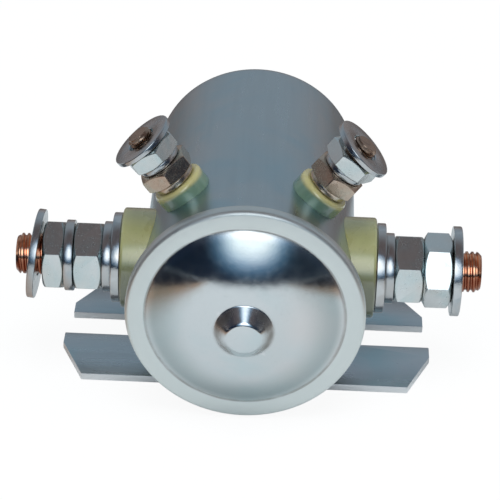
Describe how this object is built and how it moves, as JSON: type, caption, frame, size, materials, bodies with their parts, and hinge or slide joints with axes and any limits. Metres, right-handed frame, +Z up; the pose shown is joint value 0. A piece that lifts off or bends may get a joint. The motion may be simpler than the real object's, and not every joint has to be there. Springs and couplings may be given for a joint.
{
  "type": "dc power contactor",
  "caption": "Can-type DC contactor: side load studs with nuts, shoulder coil studs, crimped domed cap, slotted bracket, and a sliding contact disc and plunger inside.",
  "frame": {"origin": "middle of the footprint, on the plane of the bracket's underside", "axes": "+Z up from the bracket, +Y along the can's axis from the domed cap to the closed end, +X along the load studs to the right as seen from the cap"},
  "size_m": [0.09, 0.0732, 0.0549],
  "materials": {
    "zinc_plated_steel": "clear zinc plate, satin",
    "bright_zinc": "bright zinc plate",
    "washer_zinc": "zinc plate, satin",
    "copper": "bare copper",
    "stud_brass": "bare copper alloy",
    "moulded_insulator": "moulded, slight sheen",
    "fibre": "vulcanised fibre",
    "steel": "turned",
    "brass": "drawn",
    "nylon": "moulded",
    "magnet_wire": "enamelled copper wire",
    "insulating_paper": "varnished paper",
    "rubber": "matt",
    "spring_steel": "drawn wire"
  },
  "bodies": {
    "housing": {"bobbin": "nylon", "can": "zinc_plated_steel", "cap_gasket": "rubber", "coil_winding": "magnet_wire", "coil_wrap": "insulating_paper", "end_cap": "bright_zinc", "fixed_core": "steel", "flux_washer": "steel", "guide_tube": "brass", "left_coil_inner_insulator": "moulded_insulator", "left_coil_inner_lock_washer": "washer_zinc", "left_coil_inner_nut": "bright_zinc", "left_coil_lead": "magnet_wire", "left_coil_outer_flat_washer": "washer_zinc", "left_coil_outer_insulator": "moulded_insulator", "left_coil_outer_lock_washer": "washer_zinc", "left_coil_outer_nut": "bright_zinc", "left_coil_stud": "stud_brass", "left_load_inner_flat_washer": "washer_zinc", "left_load_inner_insulator": "moulded_insulator", "left_load_inner_lock_washer": "washer_zinc", "left_load_inner_nut": "bright_zinc", "left_load_outer_flat_washer": "washer_zinc", "left_load_outer_insulator": "moulded_insulator", "left_load_outer_lock_washer": "washer_zinc", "left_load_outer_nut": "bright_zinc", "left_load_stud": "copper", "mounting_bracket": "zinc_plated_steel", "return_spring": "spring_steel", "right_coil_inner_insulator": "moulded_insulator", "right_coil_inner_lock_washer": "washer_zinc", "right_coil_inner_nut": "bright_zinc", "right_coil_lead": "magnet_wire", "right_coil_outer_flat_washer": "washer_zinc", "right_coil_outer_insulator": "moulded_insulator", "right_coil_outer_lock_washer": "washer_zinc", "right_coil_outer_nut": "bright_zinc", "right_coil_stud": "stud_brass", "right_load_inner_flat_washer": "washer_zinc", "right_load_inner_insulator": "moulded_insulator", "right_load_inner_lock_washer": "washer_zinc", "right_load_inner_nut": "bright_zinc", "right_load_outer_flat_washer": "washer_zinc", "right_load_outer_insulator": "moulded_insulator", "right_load_outer_nut": "bright_zinc", "right_load_stud": "copper"},
    "contact_bridge": {"contact_disc": "copper", "front_disc_insulator": "fibre", "back_disc_insulator": "fibre", "contact_spring": "spring_steel"},
    "plunger_and_rod": {"plunger": "steel", "plunger_rod": "stud_brass", "spring_seat": "steel"}
  },
  "joints": [
    {"name": "contact_travel", "type": "slide", "parent": "housing", "child": "contact_bridge", "axis": [0, 1, 0], "range_m": [0, 0.0022], "stiffness_N_per_m": 150, "springref_m": -0.004, "deforming": ["return_spring"]},
    {"name": "contact_overtravel", "type": "slide", "parent": "contact_bridge", "child": "plunger_and_rod", "axis": [0, 1, 0], "range_m": [0, 0.0008], "stiffness_N_per_m": 300, "springref_m": -0.002, "deforming": ["contact_spring"]}
  ]
}
